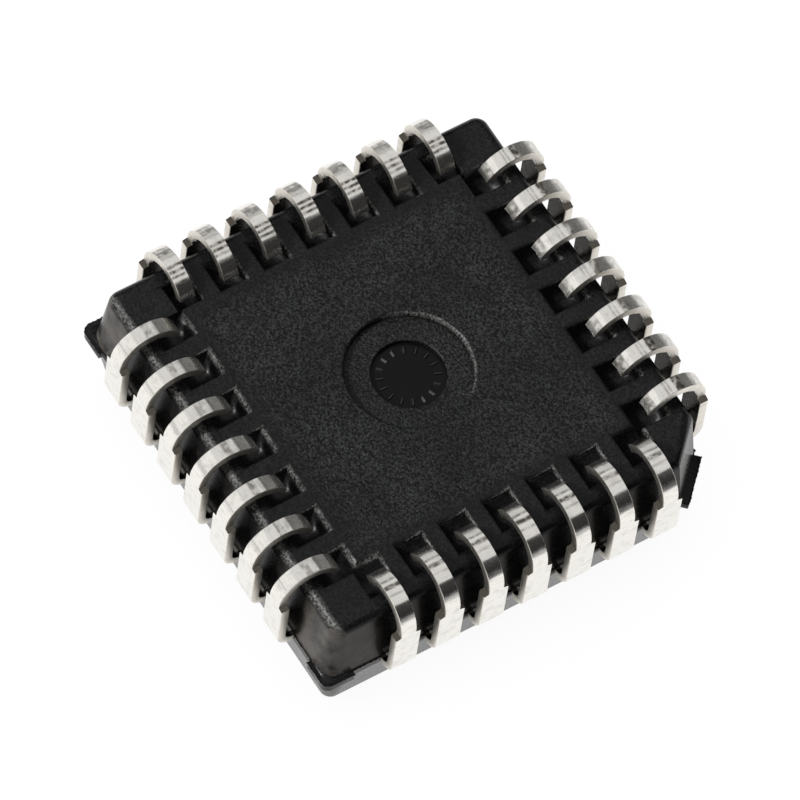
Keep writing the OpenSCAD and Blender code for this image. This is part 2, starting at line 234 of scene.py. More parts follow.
class TickLook(PropertyGroup):
    """Sizes of the plain ticks in the ejector mark."""
    count: IntProperty(name="Tick count", description="Number of ticks round the disc", default=16)
    ring: length("Ring radius", "Distance of the ticks from the middle", 0.74)
    run: length("Tick length", "Length of one tick", 0.2)
    width: length("Tick width", "Width of one tick at its foot", 0.1)
    rise: length("Tick height", "Height of one tick over the disc", 0.035)


class InsideLook(PropertyGroup):
    """Colours of the pieces that the moulding hides."""
    copper: colour("Copper colour", "Colour of the die pad's copper alloy", "C98F6E")
    adhesive: colour("Adhesive colour", "Colour of the silver-filled die adhesive", "B9B7B0")
    silicon: colour("Silicon colour", "Colour of the polished silicon", "6E7078")
    gold: colour("Gold colour", "Colour of the bond wires", "E8BE5A")


class StudioLook(PropertyGroup):
    """Levels of the studio's lamps and surfaces."""
    key_level: number("Key level", "Brightness of the small lamp on the left", 75.0)
    side_level: number("Side level", "Brightness of the softbox on the left", 0.9)
    top_level: number("Top level", "Brightness of the softbox overhead", 0.7)
    fill_level: number("Fill level", "Brightness of the softbox on the right", 0.18)
    back_level: number("Back level", "Brightness of the low softbox behind", 0.6)
    room_level: number("Room level", "Brightness of the room", 0.035)
    floor: colour("Floor colour", "Colour of the paper that the chip lies on", "F4F4F4")
    floor_lift: number("Floor lift", "Light that the paper shows by itself", 0.93)
    floor_share: number("Floor share", "Share of the lamps' light that the paper shows", 0.2)
    fibre: length("Fibre size", "Size of the paper's clumps of fibres", 1.1111)


def feed(node, inputs):
    """Fills a node's inputs: a socket, or a node's first live output, is linked, and a value is set."""
    for key, value in inputs.items():
        if isinstance(value, bpy.types.Node):
            value = next(socket for socket in value.outputs if socket.enabled)
        if isinstance(value, bpy.types.NodeSocket):
            node.id_data.links.new(value, node.inputs[key])
        else:
            node.inputs[key].default_value = value


def add_node(tree, kind, inputs=None, **settings):
    """Adds one node to a tree with its settings, and fills its inputs."""
    node = tree.nodes.new(kind)
    for key, value in settings.items():
        setattr(node, key, value)
    feed(node, inputs or {})
    return node


def new_material(name):
    """A node material with only its shader and output, the function that adds its nodes, and the shader."""
    material = bpy.data.materials.new(name)
    material.use_nodes = True
    material.node_tree.nodes.clear()
    add = partial(add_node, material.node_tree)
    shader = add("ShaderNodeBsdfPrincipled")
    add("ShaderNodeOutputMaterial", {"Surface": shader})
    return material, add, shader


def mould_compound(look):
    """Epoxy mould compound from a spark-eroded mould: near black, sparkling, pitted; painted glints, lip
    highlight, wall reflection.
    """
    material, add, shader = new_material("epoxy_mould_compound_spark_eroded")
    coords = add("ShaderNodeTexCoord").outputs
    place, normal = coords["Object"], coords["Normal"]
    spread = add("ShaderNodeVectorMath", {0: place}, operation="ABSOLUTE")
    axes = add("ShaderNodeSeparateXYZ", {0: spread}).outputs
    height = add("ShaderNodeSeparateXYZ", {0: place}).outputs["Z"]
    facing = add("ShaderNodeSeparateXYZ", {0: normal}).outputs["Z"]
    # The grain is full in the middle of the underside, and weaker by the pockets and on the walls
    reach = add("ShaderNodeMath", {0: axes["X"], 1: axes["Y"]}, operation="MAXIMUM")
    middle = add("ShaderNodeMapRange",
                 {"Value": reach, "From Min": look.grain_reach,
                  "From Max": look.grain_reach + look.grain_fade, "To Min": 1.0, "To Max": 0.35})
    upward = add("ShaderNodeMapRange", {"Value": facing, "From Min": 0.2, "From Max": 0.6, "To Min": 0.2})
    weight = add("ShaderNodeMath", {0: middle, 1: upward}, operation="MULTIPLY")
    # Real pits of about 0.02 mm are too fine to show, so the grain is drawn coarser than life
    pits = add("ShaderNodeTexNoise",
               {"Vector": place, "Scale": 1 / look.grain, "Detail": 2.0, "Roughness": 0.6})
    # Pale flecks lie a little closer than the pits, and thicker in some patches: partly silica filler, partly
    # painted glints of the pitted skin
    flecks = add("ShaderNodeTexNoise",
                 {"Vector": place, "Scale": 1.4 / look.grain, "Detail": 1.0, "W": 3.0},
                 noise_dimensions="4D")
    cloud = add("ShaderNodeTexNoise", {"Vector": place, "Scale": 1 / look.patch, "Detail": 3.0})
    patchy = add("ShaderNodeMapRange", {"Value": cloud, "From Min": 0.35, "From Max": 0.65, "To Min": 0.6})
    dense = add("ShaderNodeMath", {0: weight, 1: patchy}, operation="MULTIPLY")
    share = add("ShaderNodeMapRange", {"Value": flecks, "From Min": 0.4, "From Max": 0.76, "To Max": dense})
    # Painted reflection: the outer walls are painted paler in patches at the corners, as if they reflected
    # the white paper; the walls between the leads get little of it, a painted shade
    level = add("ShaderNodeVectorMath", {0: place, 1: (1.0, 1.0, 0.0)}, operation="MULTIPLY")
    outward = add("ShaderNodeVectorMath", {0: level, 1: normal}, operation="DOT_PRODUCT")
    sheen_patches = add("ShaderNodeTexNoise", {"Vector": place, "Scale": 1 / look.mottle, "Detail": 4.0})
    nearer = add("ShaderNodeMath", {0: axes["X"], 1: axes["Y"]}, operation="MINIMUM")
    corner = add("ShaderNodeMapRange",
                 {"Value": nearer, "From Min": look.corner_start,
                  "From Max": look.corner_start + look.grain_fade, "To Min": 0.15})
    mottle = add("ShaderNodeMapRange", {"Value": sheen_patches, "From Min": 0.38, "From Max": 0.6, "To Min": 0.3})
    wall_sheen = add("ShaderNodeMath", {0: mottle, 1: corner}, operation="MULTIPLY")
    outside = add("ShaderNodeMapRange",
                  {"Value": outward, "From Min": look.wall_start, "From Max": look.board_half,
                   "To Max": wall_sheen})
    ground = add("ShaderNodeMix", {"Factor": outside, "A": look.tint, "B": look.wall}, data_type="RGBA")
    grained = add("ShaderNodeMix", {"Factor": share, "A": ground, "B": look.filler_and_glints}, data_type="RGBA")
    # Lips near the underside get a painted highlight: pale flecks on the side that faces the key lamp
    raised = add("ShaderNodeMapRange",
                 {"Value": height, "From Min": body_high.z - look.lip_highlight_depth,
                  "From Max": body_high.z - look.mouth_soft})
    toward = add("ShaderNodeVectorMath", {0: normal, 1: HIGHLIGHT_SIDE}, operation="DOT_PRODUCT")
    leaning = add("ShaderNodeMapRange",
                  {"Value": toward, "From Min": 0.15, "From Max": 0.5, "To Max": raised})
    lip_highlight = add("ShaderNodeMapRange",
                  {"Value": flecks, "From Min": 0.36, "From Max": 0.72, "To Max": leaning})
    skin = add("ShaderNodeMix", {"Factor": lip_highlight, "A": grained, "B": look.wear_and_painted_light}, data_type="RGBA")
    # Walls are smoother than the underside, and the pits fade on rounded edges
    matt = add("ShaderNodeMapRange", {"Value": upward, "To Min": 0.28, "To Max": 0.34})
    gloss = add("ShaderNodeMapRange",
                {"Value": pits, "From Min": 0.3, "From Max": 0.7, "To Min": 0.22, "To Max": matt})
    flat = add("ShaderNodeMapRange", {"Value": facing, "From Min": 0.9, "From Max": 0.99, "To Min": 0.25})
    pitted = add("ShaderNodeMath", {0: weight, 1: flat}, operation="MULTIPLY")
    relief = add("ShaderNodeBump", {"Height": pits, "Strength": pitted, "Distance": look.grain_depth})
    feed(shader, {"Base Color": skin, "Roughness": gloss, "Normal": relief, "IOR": EPOXY_IOR,
                  "Specular IOR Level": 0.14})
    return material


def polished_compound(look, name, shine):
    """Epoxy mould compound against a polished pin: smooth and black, with faint rings and some shine."""
    material, add, shader = new_material(name)
    place = add("ShaderNodeTexCoord").outputs["Object"]
    haze = add("ShaderNodeTexNoise", {"Vector": place, "Scale": 1 / look.haze, "Detail": 3.0})
    gloss = add("ShaderNodeMapRange",
                {"Value": haze, "From Min": 0.3, "From Max": 0.7, "To Min": 0.22, "To Max": 0.36})
    # At a scale of 1 the texture's rings lie a tenth of pi apart
    rings = add("ShaderNodeTexWave",
                {"Vector": place, "Scale": math.pi / 10 / look.ring_gap, "Distortion": 0.6},
                wave_type="RINGS", rings_direction="Z")
    relief = add("ShaderNodeBump",
                 {"Height": rings.outputs["Fac"], "Strength": 0.25, "Distance": FINE_RELIEF})
    skin = add("ShaderNodeMix", {"Factor": haze, "A": look.polished, "B": look.tint}, data_type="RGBA")
    feed(shader, {"Base Color": skin, "Roughness": gloss, "Normal": relief, "IOR": EPOXY_IOR,
                  "Specular IOR Level": shine})
    return material


def tin_plate(look):
    """Matte tin plate on a formed copper strip: bright warm silver, dull in bands of tool marks and painted
    dark reflections.
    """
    material, add, shader = new_material("tin_plated_copper_strip")
    along, across, wear_and_painted_light = (add("ShaderNodeAttribute", attribute_name=name).outputs["Fac"]
                             for name in ("along", "across", "wear_and_painted_light"))
    aside = add("ShaderNodeAttribute", attribute_name="aside").outputs["Vector"]
    coords = add("ShaderNodeTexCoord").outputs
    place, normal = coords["Object"], coords["Normal"]
    # Fine lines across the strip, drawn coarser than life so that they show, that differ from lead to lead
    thin = 1 / look.scratch
    strip_place = add("ShaderNodeCombineXYZ", {"X": along, "Y": across})
    drawn = add("ShaderNodeVectorMath",
                {0: strip_place, 1: (thin, thin / LINE_STRETCH, 0.0)}, operation="MULTIPLY")
    shifted = add("ShaderNodeVectorMath", {0: place, 1: LINE_SHIFT, 2: drawn}, operation="MULTIPLY_ADD")
    lines = add("ShaderNodeTexNoise", {"Vector": shifted, "Scale": 1.0, "Detail": 3.0})
    # The dull bands, partly tool marks and partly painted dark reflections, are broken up by a noise, and
    # keep to the broad faces of the strip
    breakup = add("ShaderNodeTexNoise", {"Vector": place, "Scale": 1 / look.mark_breakup, "Detail": 3.0})
    broken = add("ShaderNodeMapRange",
                 {"Value": breakup, "From Min": 0.4, "From Max": 0.58, "To Min": 0.4, "To Max": 1.1})
    lean = add("ShaderNodeVectorMath", {0: normal, 1: aside}, operation="DOT_PRODUCT")
    flank = add("ShaderNodeMath", {0: lean}, operation="ABSOLUTE")
    sheared = add("ShaderNodeMapRange", {"Value": flank, "From Min": 0.6, "From Max": 0.9})
    faced = add("ShaderNodeMapRange", {"Value": sheared, "To Min": broken, "To Max": 0.0})
    # How dull each place is: tool wear mixed with painted dark reflections
    worn = add("ShaderNodeMath", {0: wear_and_painted_light, 1: faced}, operation="MULTIPLY")
    haze = add("ShaderNodeMapRange", {"Value": lines, "From Min": 0.5, "From Max": 0.75, "To Max": 0.16})
    blots = add("ShaderNodeTexNoise", {"Vector": place, "Scale": 1 / look.blot, "Detail": 4.0})
    blotted = add("ShaderNodeMapRange", {"Value": blots, "From Min": 0.5, "From Max": 0.8, "To Max": 0.22})
    uneven = add("ShaderNodeMath", {0: haze, 1: blotted}, operation="ADD")
    dull = add("ShaderNodeMath", {0: worn, 1: uneven}, operation="ADD", use_clamp=True)
    # Bare copper shows on the ears of the shoulder's step, which face upward beside the foot
    off_middle = add("ShaderNodeMath", {0: across}, operation="ABSOLUTE")
    past_foot = add("ShaderNodeMath", {0: off_middle, 1: look.foot_width / 2}, operation="GREATER_THAN")
    facing = add("ShaderNodeSeparateXYZ", {0: normal}).outputs["Z"]
    on_top = add("ShaderNodeMath", {0: facing, 1: 0.3}, operation="GREATER_THAN")
    ear = add("ShaderNodeMath", {0: past_foot, 1: on_top}, operation="MULTIPLY")
    plain = add("ShaderNodeMix", {"Factor": sheared, "A": look.plating, "B": look.flank}, data_type="RGBA")
    plated = add("ShaderNodeMix", {"Factor": dull, "A": plain, "B": look.dull_and_dark_reflection}, data_type="RGBA")
    skin = add("ShaderNodeMix", {"Factor": ear, "A": plated, "B": look.sheared}, data_type="RGBA")
    rough = add("ShaderNodeMath", {0: dull, 1: sheared}, operation="MAXIMUM")
    gloss = add("ShaderNodeMapRange", {"Value": rough, "To Min": 0.19, "To Max": 0.45})
    relief = add("ShaderNodeBump", {"Height": lines, "Strength": 0.5, "Distance": FINE_RELIEF})
    feed(shader, {"Base Color": skin, "Roughness": gloss, "Normal": relief, "Metallic": 1.0})
    return material


def plain_metal(name, tint, rough, grain):
    """A bare metal or crystal surface whose roughness and tint wander a little over one grain size."""
    material, add, shader = new_material(name)
    place = add("ShaderNodeTexCoord").outputs["Object"]
    wander = add("ShaderNodeTexNoise", {"Vector": place, "Scale": 1 / grain, "Detail": 3.0})
    skin = add("ShaderNodeMix", {"Factor": wander, "A": tint, "B": darkened(tint, 0.7)}, data_type="RGBA")
    gloss = add("ShaderNodeMapRange", {"Value": wander, "To Min": rough * 0.7, "To Max": rough * 1.3})
    feed(shader, {"Base Color": skin, "Roughness": gloss, "Metallic": 1.0})
    return material


def new_tree(name, **sizes):
    """A geometry node tree that takes a geometry, a material and the named sizes, with its node adder."""
    tree = bpy.data.node_groups.new(name, "GeometryNodeTree")
    tree.interface.new_socket("Geometry", in_out="INPUT", socket_type="NodeSocketGeometry")
    tree.interface.new_socket("Geometry", in_out="OUTPUT", socket_type="NodeSocketGeometry")
    tree.interface.new_socket("Material", in_out="INPUT", socket_type="NodeSocketMaterial")
    for label, default in sizes.items():
        kind = "NodeSocketInt" if isinstance(default, int) else "NodeSocketFloat"
        socket = tree.interface.new_socket(label, in_out="INPUT", socket_type=kind)
        socket.default_value = default
    add = partial(add_node, tree)
    return tree, add, add("NodeGroupInput").outputs


def end_tree(add, geometry, material):
    """Ends a tree: real geometry instead of instances, and the piece's material."""
    real = add("GeometryNodeRealizeInstances", {0: geometry})
    dressed = add("GeometryNodeSetMaterial", {"Geometry": real, "Material": material})
    add("NodeGroupOutput", {0: dressed})


def add_object(name, data):
    """A new object in the scene."""
    made = bpy.data.objects.new(name, data)
    bpy.context.scene.collection.objects.link(made)
    return made


def apply_modifier(piece, modifier):
    """Turns a piece and its only modifier into a plain mesh."""
    bpy.context.view_layer.update()
    graph = bpy.context.evaluated_depsgraph_get()
    made = bpy.data.meshes.new_from_object(piece.evaluated_get(graph))
    piece.modifiers.remove(modifier)
    piece.data = made


def grow(name, base, tree, material):
    """Runs a node tree over a base mesh and leaves the result as a plain mesh object."""
    piece = add_object(name, base)
    grower = piece.modifiers.new("grow", "NODES")
    grower.node_group = tree
    for item in tree.interface.items_tree:
        if item.in_out == "INPUT" and item.name == "Material":
            grower[item.identifier] = material
    apply_modifier(piece, grower)
    return piece


def settle(piece, slot, *nodes):
    """Ties a finished piece to the chip's body and hides the solids that it stands for; its slot is not used.
    """
    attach(piece, RIGID_BODY)
    if nodes:
        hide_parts(*nodes)


def clean_skin(mesh):
    """Merges a mesh's doubled points, closes its open edges and turns its faces outward."""
    skin = bmesh.new()
    skin.from_mesh(mesh)
    bmesh.ops.remove_doubles(skin, verts=skin.verts, dist=SAME_POINT)
    bmesh.ops.holes_fill(skin, edges=[e for e in skin.edges if e.is_boundary], sides=0)
    bmesh.ops.recalc_face_normals(skin, faces=skin.faces)
    skin.to_mesh(mesh)
    skin.free()


def smooth(mesh, degrees):
    """Shades a mesh smooth, apart from edges that turn more sharply than the angle."""
    mesh.shade_smooth()
    mesh.set_sharp_from_angle(angle=math.radians(degrees))


def line_mesh(name, points, edges, vectors, values):
    """A mesh of edges whose points carry named vectors and values."""
    mesh = bpy.data.meshes.new(name)
    mesh.from_pydata(points, edges, [])
    for label, listed in vectors.items():
        layer = mesh.attributes.new(label, "FLOAT_VECTOR", "POINT")
        layer.data.foreach_set("vector", [c for v in listed for c in v])
    for label, listed in values.items():
        mesh.attributes.new(label, "FLOAT", "POINT").data.foreach_set("value", listed)
    return mesh


def outline_depth(point, look, strip):
    """How far a point stands out of the moulding's outline at its own height; negative is inside."""
    heights = (0.0, lead_low.z, lead_low.z + strip, body_high.z)
    widths = (look.marked_half, look.parting_half, look.parting_half, look.board_half)
    half = widths[-1]
    for low, high, w_low, w_high in zip(heights, heights[1:], widths, widths[1:]):
        if low <= point.z <= high:
            half = w_low + (w_high - w_low) * (point.z - low) / (high - low)
    over = Vector((abs(point.x) - look.corner_centre, abs(point.y) - look.corner_centre))
    if min(over) > 0 and not (point.x > 0 > point.y):
        depth = over.length - (half - look.corner_centre)
    else:
        depth = max(abs(point.x), abs(point.y)) - half
    chamfer = look.chamfer_reach - (look.parting_half - half)
    return max(depth, (point.x - point.y) / math.sqrt(2) - chamfer)


def soften(shell, edges, width, segments):
    """Rounds the given edges of a shell, apart from those that end next to an edge too short to round."""
    room_needed = 1.6 * width
    roomy = [e for e in edges
             if all(other.calc_length() > room_needed for v in e.verts for other in v.link_edges)]
    bmesh.ops.bevel(shell, geom=roomy, offset=width, offset_type="OFFSET", segments=segments, profile=0.5,
                    affect="EDGES", clamp_overlap=False)


def sharp_edges(shell):
    """Outward edges of a shell that turn sharply and don't lie on the table."""
    sharp, off_table = math.radians(40), 0.05 * MM
    return [e for e in shell.edges if len(e.link_faces) == 2 and e.is_convex
            and e.calc_face_angle() > sharp and max(v.co.z for v in e.verts) > off_table]


def moulded_shell(look, strip):
    """The outer skin of the body's solid, without its inner cavities and with worn edges."""
    shell = bmesh.new()
    shell.from_mesh(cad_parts["body"].data)
    bmesh.ops.remove_doubles(shell, verts=shell.verts, dist=SAME_POINT)
    inner = [f for f in shell.faces if CAVITY_LOW < f.calc_center_median().z < CAVITY_HIGH
             and outline_depth(f.calc_center_median(), look, strip) < -look.cavity_margin]
    bmesh.ops.delete(shell, geom=inner, context="FACES")
    bmesh.ops.holes_fill(shell, edges=[e for e in shell.edges if e.is_boundary], sides=0)
    flat = math.radians(0.5)
    bmesh.ops.dissolve_limit(shell, angle_limit=flat, verts=shell.verts, edges=shell.edges)
    disc_z = body_high.z - look.disc_depth
    for face in shell.faces:
        middle = face.calc_center_median()
        on_disc = abs(middle.z - disc_z) < SAME_HEIGHT and middle.xy.length < look.disc_radius
        face.material_index = 1 if on_disc else 0
    mouths = [e for e in sharp_edges(shell) if all(v.co.z > body_high.z - SAME_HEIGHT for v in e.verts)]
    soften(shell, mouths, look.mouth_soft, 3)
    soften(shell, sharp_edges(shell), look.edge_soft, 2)
    mesh = bpy.data.meshes.new("moulded_body")
    shell.to_mesh(mesh)
    shell.free()
    return mesh


class CHIP_OT_mould_body(Operator):
    """Moulds the body: the solid's outer skin with worn edges and the two finishes of its mould"""
    bl_idname = "chip.mould_body"
    bl_label = "Mould Body"

    def execute(self, context):
        look = context.scene.chip_body
        mesh = moulded_shell(look, context.scene.chip_leads.strip)
        mesh.materials.append(mould_compound(look))
        mesh.materials.append(polished_compound(look, "epoxy_mould_compound_polished", 0.1))
        smooth(mesh, 50)
        piece = add_object("moulded_body", mesh)
        weigh = piece.modifiers.new("weigh", "WEIGHTED_NORMAL")
        weigh.keep_sharp = True
        apply_modifier(piece, weigh)
        settle(piece, "mould_compound", "body")
        return {"FINISHED"}


def dull_band(turned, marks):
    """How dull the plating is at an angle round the curl, in degrees: each mark fades over a soft edge."""
    level = 0.0
    for start, end, strength in marks:
        inside = min((turned - start) / MARK_FADE, (end - turned) / MARK_FADE) + 0.5
        level = max(level, strength * min(1.0, max(0.0, inside)))
    return level


def lead_line(side, place, look, chance):
    """Centre line of one lead on the +X side: places, outward directions, half widths and how dull it is."""
    half = look.strip / 2
    flat_z = lead_low.z + half
    reach = back_high.y if side == BACK_SIDE else lead_high.x
    bend = look.bend - (lead_high.x - reach)
    face = reach - half
    exit_x = reach - look.strip - bend
    anchor_x = exit_x - look.exit_run - look.anchor
    bend_z = lead_low.z + look.strip + bend
    curl_z = lead_high.z - look.strip - look.curl
    step_z = curl_z - look.step_gap
    middle = place * look.pitch
    down, out = Vector((0, 0, -1)), Vector((1, 0, 0))
    line = [((lead_low.x, place * look.tip_pitch, flat_z), down, look.tip_width / 2, 0.0),
            ((anchor_x - look.finger_run, middle, flat_z), down, look.finger_width / 2, 0.0),
            ((anchor_x - look.edge_soft, middle, flat_z), down, look.finger_width / 2, 0.0),
            ((anchor_x, middle, flat_z), down, half_shoulder, 0.0)]
    for i in range(BEND_STEPS + 1):
        a = math.radians(-90 + 90 * i / BEND_STEPS)
        turn = Vector((math.cos(a), 0, math.sin(a)))
        line.append((Vector((exit_x, middle, bend_z)) + turn * (bend + half), turn, half_shoulder, 0.0))
    line += [((face, middle, step_z - look.step_slope), out, half_shoulder, 0.0),
             ((face, middle, step_z), out, look.foot_width / 2, 0.0)]
    # Each lead's ripple and its dull bands, partly tool marks and partly painted dark reflections, lie a
    # little apart from its neighbours'
    phase = chance.uniform(-0.1, 0.1)
    shift = chance.uniform(-2.0, 2.0)
    strength = chance.uniform(0.8, 1.1)
    for i in range(CURL_STEPS + 1):
        a = look.curl_angle * i / CURL_STEPS
        turn = Vector((math.cos(a), 0, math.sin(a)))
        run = a * look.curl / look.ripple_gap
        mark = look.ripple * math.sin(2 * math.pi * (run + phase)) * min(1.0, i / RIPPLE_STEPS)
        on_curl = Vector((face - half - look.curl, middle, curl_z)) + turn * (look.curl + half + mark)
        dull = strength * dull_band(math.degrees(a) + shift, TOOL_AND_REFLECTION_MARKS[side])
        line.append((on_curl, turn, look.foot_width / 2, dull))
    return line


def lead_lines(look):
    """Centre lines of the leads, as a mesh of edges that carries their directions, widths and marks."""
    chance = random.Random(look.seed)
    points, edges = [], []
    vectors = {"centre": points, "outer": [], "aside": [], "horn": []}
    values = {"half_width": [], "along": [], "wear_and_painted_light": []}
    for side in range(SIDES):
        turn = Matrix.Rotation(-math.pi / 2 * side, 3, "Z")
        aside = turn @ Vector((0, 1, 0))
        for index in range(LEADS_PER_SIDE):
            line = lead_line(side, (LEADS_PER_SIDE - 1) / 2 - index, look, chance)
            run = 0.0
            for i, (point, normal, width, dull) in enumerate(line):
                point = turn @ Vector(point)
                step = Vector()
                if i:
                    step = point - points[-1]
                    run += step.length
                    edges.append((len(points) - 1, len(points)))
                points.append(point)
                vectors["outer"].append(turn @ normal)
                vectors["aside"].append(aside)
                vectors["horn"].append(step.normalized() * look.horn if i == len(line) - 1 else Vector())
                values["half_width"].append(width)
                values["along"].append(run)
                values["wear_and_painted_light"].append(dull)
    return line_mesh("lead_lines", points, edges, vectors, values)


def sweep(add, lines, section, outer, centre, side):
    """Sweeps a section along lines that face outward, and tells how far its points lie to a side."""
    turned = add("GeometryNodeSetCurveNormal", {"Curve": lines, "Normal": outer}, mode="FREE")
    strip = add("GeometryNodeCurveToMesh", {"Curve": turned, "Profile Curve": section, "Fill Caps": True})
    here = add("GeometryNodeInputPosition")
    away = add("ShaderNodeVectorMath", {0: here, 1: centre}, operation="SUBTRACT")
    return strip, add("ShaderNodeVectorMath", {0: away, 1: side}, operation="DOT_PRODUCT")


def lead_tree(look):
    """Sweeps each lead's rounded strip along its line, sets its width and draws out its tip's corners."""
    tree, add, given = new_tree("formed_leads", Thickness=look.strip, Edge=look.edge_soft)
    curve = add("GeometryNodeMeshToCurve", {"Mesh": given["Geometry"]})
    outer, centre, aside, horn = (
        add("GeometryNodeInputNamedAttribute", {"Name": name}, data_type="FLOAT_VECTOR")
        for name in ("outer", "centre", "aside", "horn"))
    width = add("GeometryNodeInputNamedAttribute", {"Name": "half_width"}, data_type="FLOAT")
    # A narrow core with rounded corners is swept first, and its two halves then move apart
    core = add("ShaderNodeMath", {0: given["Edge"], 1: CORE_WIDTH}, operation="MULTIPLY")
    block = add("GeometryNodeCurvePrimitiveQuadrilateral",
                {"Width": given["Thickness"], "Height": core}, mode="RECTANGLE")
    halved = add("GeometryNodeSubdivideCurve", {"Curve": block, "Cuts": 1})
    section = add("GeometryNodeFilletCurve",
                  {"Curve": halved, "Radius": given["Edge"], "Count": 3}, mode="POLY")
    strip, sideways = sweep(add, curve, section, outer, centre, aside)
    clear = add("ShaderNodeMath", {0: given["Edge"], 1: CORE_MIDDLE}, operation="MULTIPLY")
    right = add("ShaderNodeMath", {0: sideways, 1: clear}, operation="GREATER_THAN")
    behind = add("ShaderNodeMath", {0: sideways, 1: -1.0}, operation="MULTIPLY")
    left = add("ShaderNodeMath", {0: behind, 1: clear}, operation="GREATER_THAN")
    which = add("ShaderNodeMath", {0: right, 1: left}, operation="SUBTRACT")
    half_core = add("ShaderNodeMath", {0: core, 1: 0.5}, operation="MULTIPLY")
    spare = add("ShaderNodeMath", {0: width, 1: half_core}, operation="SUBTRACT")
    shift = add("ShaderNodeMath", {0: which, 1: spare}, operation="MULTIPLY")
    push = add("ShaderNodeVectorMath", {0: aside, "Scale": shift}, operation="SCALE")
    corner = add("ShaderNodeMath", {0: which}, operation="ABSOLUTE")
    drawn = add("ShaderNodeVectorMath", {0: horn, "Scale": corner}, operation="SCALE")
    moved = add("ShaderNodeVectorMath", {0: push, 1: drawn}, operation="ADD")
    wide = add("GeometryNodeSetPosition", {"Geometry": strip, "Offset": moved})
    marked = add("GeometryNodeStoreNamedAttribute",
                 {"Geometry": wide, "Name": "across", "Value": sideways}, data_type="FLOAT", domain="POINT")
    end_tree(add, marked, given["Material"])
    return tree


class CHIP_OT_form_leads(Operator):
    """Forms the four rows of leads: a rounded strip swept from each lead's bond tip to its foot"""
    bl_idname = "chip.form_leads"
    bl_label = "Form Leads"

    def execute(self, context):
        look = context.scene.chip_leads
        piece = grow("formed_leads", lead_lines(look), lead_tree(look), tin_plate(look))
        clean_skin(piece.data)
        smooth(piece.data, 40)
        settle(piece, "tin_plate", *LEAD_NODES)
        return {"FINISHED"}


def flash_lines(look, body, leads):
    """Lines along the parting line between the leads and round the corner tabs, with outward directions."""
    height = lead_low.z + leads.strip - look.film / 2
    last = (LEADS_PER_SIDE - 1) / 2 * leads.pitch
    points, outs, edges = [], [], []

    def add_line(line):
        for i, (point, out) in enumerate(line):
            if i:
                edges.append((len(points) - 1, len(points)))
            points.append(point)
            outs.append(out)

    for side in range(SIDES):
        turn = Matrix.Rotation(-math.pi / 2 * side, 3, "Z")
        out = turn @ Vector((1, 0, 0))
        runs = [(-last + leads.pitch * i + half_shoulder, -last + leads.pitch * (i + 1) - half_shoulder)
                for i in range(LEADS_PER_SIDE - 1)]
        low_end = look.index_start if side == 0 else look.tab_start
        high_end = look.index_start if side == 1 else look.tab_start
        runs += [(-low_end, -last - half_shoulder), (last + half_shoulder, high_end)]
        for run in runs:
            add_line([(turn @ Vector((body.parting_half, y, height)), out) for y in run])
        if side == 0:
            slant, along = Vector((1, -1, 0)).normalized(), Vector((1, 1, 0)).normalized()
            middle = slant * look.index_out + Vector((0, 0, height))
            add_line([(middle + along * look.index_half, slant), (middle - along * look.index_half, slant)])
        else:
            hub = look.tab_half - look.tab_radius
            corner = [(turn @ Vector((look.tab_half, -look.tab_start, height)), out)]
            for i in range(TAB_STEPS + 1):
                a = -math.pi / 2 * i / TAB_STEPS
                ray = turn @ Vector((math.cos(a), math.sin(a), 0))
                corner.append((turn @ Vector((hub, -hub, height)) + ray * look.tab_radius, ray))
            end = turn @ Vector((look.tab_start, -look.tab_half, height))
            corner.append((end, turn @ Vector((0, -1, 0))))
            add_line(corner)
    return line_mesh("flash_lines", points, edges, {"centre": points, "outer": outs}, {})


def flash_tree(look):
    """Sweeps a thin film along the parting line and tears its outer edge by a fixed noise."""
    tree, add, given = new_tree("flash_film", Film=look.film, Reach=look.reach, Rag=look.rag,
                                Spacing=look.spacing)
    curve = add("GeometryNodeMeshToCurve", {"Mesh": given["Geometry"]})
    fine = add("GeometryNodeResampleCurve", {"Curve": curve, "Length": given["Spacing"]}, mode="LENGTH")
    outer, centre = (
        add("GeometryNodeInputNamedAttribute", {"Name": name}, data_type="FLOAT_VECTOR")
        for name in ("outer", "centre"))
    section = add("GeometryNodeCurvePrimitiveQuadrilateral",
                  {"Width": given["Film"], "Height": given["Film"]}, mode="RECTANGLE")
    strip, lean = sweep(add, fine, section, outer, centre, outer)
    outside = add("ShaderNodeMath", {0: lean, 1: 0.0}, operation="GREATER_THAN")
    teeth = add("ShaderNodeMath", {0: 1.0, 1: given["Rag"]}, operation="DIVIDE")
    torn = add("ShaderNodeTexNoise", {"Vector": centre, "Scale": teeth, "Detail": 3.0})
    bite = add("ShaderNodeMapRange",
               {"Value": torn, "From Min": 0.42, "From Max": 0.75, "To Max": given["Reach"]})
    push = add("ShaderNodeVectorMath", {0: outer, "Scale": bite}, operation="SCALE")
    ragged = add("GeometryNodeSetPosition", {"Geometry": strip, "Selection": outside, "Offset": push})
    end_tree(add, ragged, given["Material"])
    return tree


class CHIP_OT_tear_flash(Operator):
    """Leaves the ragged film of moulding flash along the parting line and the corner tabs"""
    bl_idname = "chip.tear_flash"
    bl_label = "Tear Flash"

    def execute(self, context):
        look = context.scene.chip_flash
        base = flash_lines(look, context.scene.chip_body, context.scene.chip_leads)
        skin = bpy.data.objects["moulded_body"].data.materials[0]
        piece = grow("flash_film", base, flash_tree(look), skin)
        smooth(piece.data, 30)
        settle(piece, "mould_compound")
        return {"FINISHED"}


